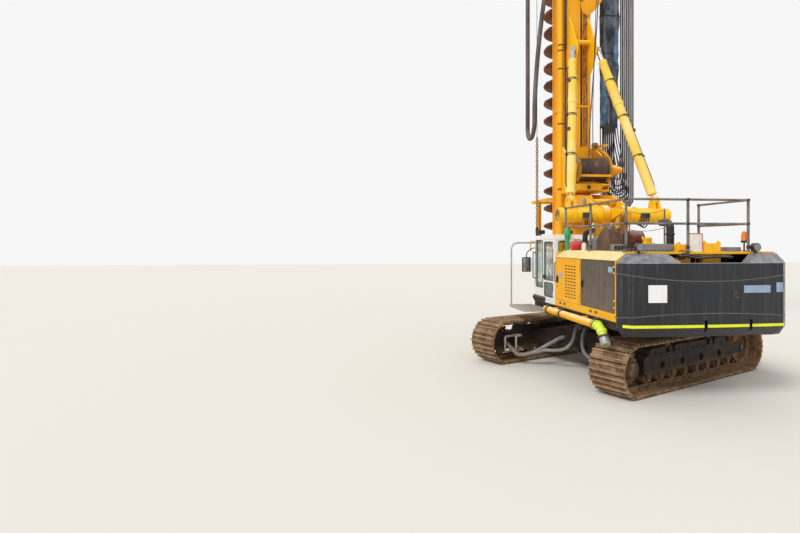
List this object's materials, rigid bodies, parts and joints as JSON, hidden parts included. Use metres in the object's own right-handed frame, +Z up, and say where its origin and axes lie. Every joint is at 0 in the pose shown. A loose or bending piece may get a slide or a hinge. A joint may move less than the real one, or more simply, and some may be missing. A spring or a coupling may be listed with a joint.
{
  "type": "crawler piling rig with a continuous flight auger",
  "caption": "Crawler piling rig: slewing house with cab and tail counterweight, luffing parallelogram boom, tall box mast, winch and a long continuous flight auger.",
  "frame": {"origin": "on the ground under the slewing axis", "axes": "+Y from the slewing axis towards the mast as the house stands, +X to the operator's right, +Z up"},
  "size_m": [6.4636, 7.25, 18.8518],
  "materials": {
    "yellow_paint": "orange-yellow machine enamel, chalked and dusty",
    "faded_paint": "pale faded yellow enamel",
    "black_paint": "charcoal black enamel, dusty",
    "brown_paint": "grey-brown enamel, dusty",
    "white_paint": "white cab enamel",
    "lime_paint": "lime green enamel",
    "grey_paint": "grey enamel",
    "dark_steel": "dark muddy frame paint",
    "track_steel": "mud-caked steel with worn pale edges",
    "rail_steel": "dark grey painted tube",
    "rod_chrome": "hard chrome rod",
    "rust_steel": "bare steel, brown with rust and soil",
    "drum_steel": "dark brown greased rope drum",
    "rubber": "black rubber hose",
    "wrap_cloth": "dark woven hose sleeve, dusty",
    "sleeve": "grey corrugated sleeve, muddy",
    "seat_vinyl": "black seat vinyl",
    "glass": "cab glass",
    "lamp_black": "black lamp housing"
  },
  "bodies": {
    "undercarriage": {"car_body": "dark_steel", "track_frames": "dark_steel", "track_left": "track_steel", "track_right": "track_steel", "sprockets": "track_steel", "idlers": "track_steel", "rollers": "track_steel", "slew_ring": "dark_steel", "travel_hoses": "sleeve"},
    "house": {"deck": "dark_steel", "counterweight": "black_paint", "engine": "grey_paint", "house_frame": "yellow_paint", "right_tank": "yellow_paint", "handrails": "rail_steel", "deck_gear": "grey_paint", "exhaust": "lamp_black", "work_lamps": "lamp_black", "cab_shell": "white_paint", "cab_glass": "glass", "cab_seat": "seat_vinyl", "cab_platform": "rail_steel", "boom_feet": "yellow_paint", "delivery_pipe": "yellow_paint", "delivery_elbow": "lime_paint"},
    "cab_door": {"cab_door": "white_paint", "cab_door_glass": "glass"},
    "door_left_front": {"door_left_front": "yellow_paint"},
    "door_left_rear": {"door_left_rear": "brown_paint"},
    "door_right_front": {"door_right_front": "yellow_paint"},
    "door_right_rear": {"door_right_rear": "brown_paint"},
    "boom": {"boom": "yellow_paint"},
    "link_bars": {"link_bars": "yellow_paint"},
    "lift_barrels": {"boom_barrels": "yellow_paint"},
    "lift_rods": {"boom_rods": "rod_chrome"},
    "head_beam": {"head_beam": "yellow_paint"},
    "stay_barrels": {"stay_barrels": "faded_paint"},
    "stay_rod_left": {"stay_rod_left": "rod_chrome"},
    "stay_rod_right": {"stay_rod_right": "rod_chrome"},
    "mast": {"mast": "yellow_paint", "mast_yoke": "yellow_paint", "stay_bracket": "yellow_paint", "winch_frame": "yellow_paint", "auger_guide": "yellow_paint", "mast_pipe": "yellow_paint", "hose_arms": "yellow_paint", "crown": "yellow_paint", "concrete_hose": "rubber", "hydraulic_hoses": "rubber", "hose_wrap": "wrap_cloth"},
    "main_drum": {"main_drum": "drum_steel"},
    "sheave_rear": {"sheave_rear": "rust_steel"},
    "sheave_front": {"sheave_front": "rust_steel"},
    "rotary_head": {"head_carriage": "yellow_paint", "rotary_drive": "grey_paint", "gooseneck": "yellow_paint"},
    "auger": {"auger": "rust_steel", "auger_bit": "rust_steel", "auger_coupling": "rust_steel"}
  },
  "joints": [
    {"name": "slew", "type": "hinge", "parent": "undercarriage", "child": "house", "pos_m": [0, 0, 1.22], "axis": [0, 0, 1], "continuous": true},
    {"name": "cab_door_hinge", "type": "hinge", "parent": "house", "child": "cab_door", "pos_m": [-1.614, -0.395, 2.2], "axis": [0, 0, 1], "range_deg": [0, 85]},
    {"name": "left_front_door_hinge", "type": "hinge", "parent": "house", "child": "door_left_front", "pos_m": [-1.614, -1.69, 2], "axis": [0, 0, 1], "range_deg": [0, 90]},
    {"name": "left_rear_door_hinge", "type": "hinge", "parent": "house", "child": "door_left_rear", "pos_m": [-1.614, -3.055, 2], "axis": [0, 0, 1], "range_deg": [0, 90]},
    {"name": "right_front_door_hinge", "type": "hinge", "parent": "house", "child": "door_right_front", "pos_m": [1.614, -1.69, 2], "axis": [0, 0, -1], "range_deg": [0, 90]},
    {"name": "right_rear_door_hinge", "type": "hinge", "parent": "house", "child": "door_right_rear", "pos_m": [1.614, -3.055, 2], "axis": [0, 0, -1], "range_deg": [0, 90]},
    {"name": "boom_luff", "type": "hinge", "parent": "house", "child": "boom", "pos_m": [0, 0.7, 1.7], "axis": [1, 0, 0], "range_deg": [-30, 0]},
    {"name": "head_level", "type": "hinge", "parent": "boom", "child": "head_beam", "pos_m": [0, -0.00002, 3.51037], "axis": [1, 0, 0], "range_deg": [0, 30]},
    {"name": "link_swing", "type": "hinge", "parent": "house", "child": "link_bars", "pos_m": [0, 0.2, 1.75], "axis": [1, 0, 0], "range_deg": [-30, 0]},
    {"name": "lift_barrel_tilt", "type": "hinge", "parent": "house", "child": "lift_barrels", "pos_m": [0, -0.35, 1.62], "axis": [1, 0, 0], "range_deg": [-17.5, 0]},
    {"name": "lift_rod_slide", "type": "slide", "parent": "lift_barrels", "child": "lift_rods", "axis": [0, 0.4559, 0.89], "range_m": [0, 0.43]},
    {"name": "mast_tilt", "type": "hinge", "parent": "head_beam", "child": "mast", "pos_m": [0, 0.62, 3.88], "axis": [1, 0, 0], "range_deg": [-5, 15]},
    {"name": "stay_barrel_tilt", "type": "hinge", "parent": "head_beam", "child": "stay_barrels", "pos_m": [0, 0, 3.87], "axis": [1, 0, 0], "range_deg": [-5, 15]},
    {"name": "stay_left_slide", "type": "slide", "parent": "stay_barrels", "child": "stay_rod_left", "axis": [0.1595, 0.326, 0.9318], "range_m": [-0.16, 0.06]},
    {"name": "stay_right_slide", "type": "slide", "parent": "stay_barrels", "child": "stay_rod_right", "axis": [-0.1595, 0.326, 0.9318], "range_m": [-0.16, 0.06]},
    {"name": "main_drum_spin", "type": "hinge", "parent": "mast", "child": "main_drum", "pos_m": [0, 1.16, 4.73], "axis": [1, 0, 0], "continuous": true},
    {"name": "sheave_rear_spin", "type": "hinge", "parent": "mast", "child": "sheave_rear", "pos_m": [0, 1.5, 18.52], "axis": [1, 0, 0], "continuous": true},
    {"name": "sheave_front_spin", "type": "hinge", "parent": "mast", "child": "sheave_front", "pos_m": [0, 3, 18.52], "axis": [1, 0, 0], "continuous": true},
    {"name": "head_slide", "type": "slide", "parent": "mast", "child": "rotary_head", "axis": [0, 0, 1], "range_m": [-1.05, 0], "deforming": ["concrete_hose", "hydraulic_hoses"]},
    {"name": "auger_spin", "type": "hinge", "parent": "rotary_head", "child": "auger", "pos_m": [0, 3.35, 8], "axis": [0, 0, 1], "continuous": true}
  ],
  "couplings": [
    {"joint": "head_level", "follows": "boom_luff", "ratio": -1},
    {"joint": "link_swing", "follows": "boom_luff", "ratio": 1},
    {"joint": "lift_barrel_tilt", "follows": "boom_luff", "ratio": 0.5703},
    {"joint": "lift_rod_slide", "follows": "boom_luff", "m_per_rad": -0.802},
    {"joint": "stay_barrel_tilt", "follows": "mast_tilt", "ratio": 0.962},
    {"joint": "stay_left_slide", "follows": "mast_tilt", "m_per_rad": -0.588},
    {"joint": "stay_right_slide", "follows": "mast_tilt", "m_per_rad": -0.588}
  ]
}
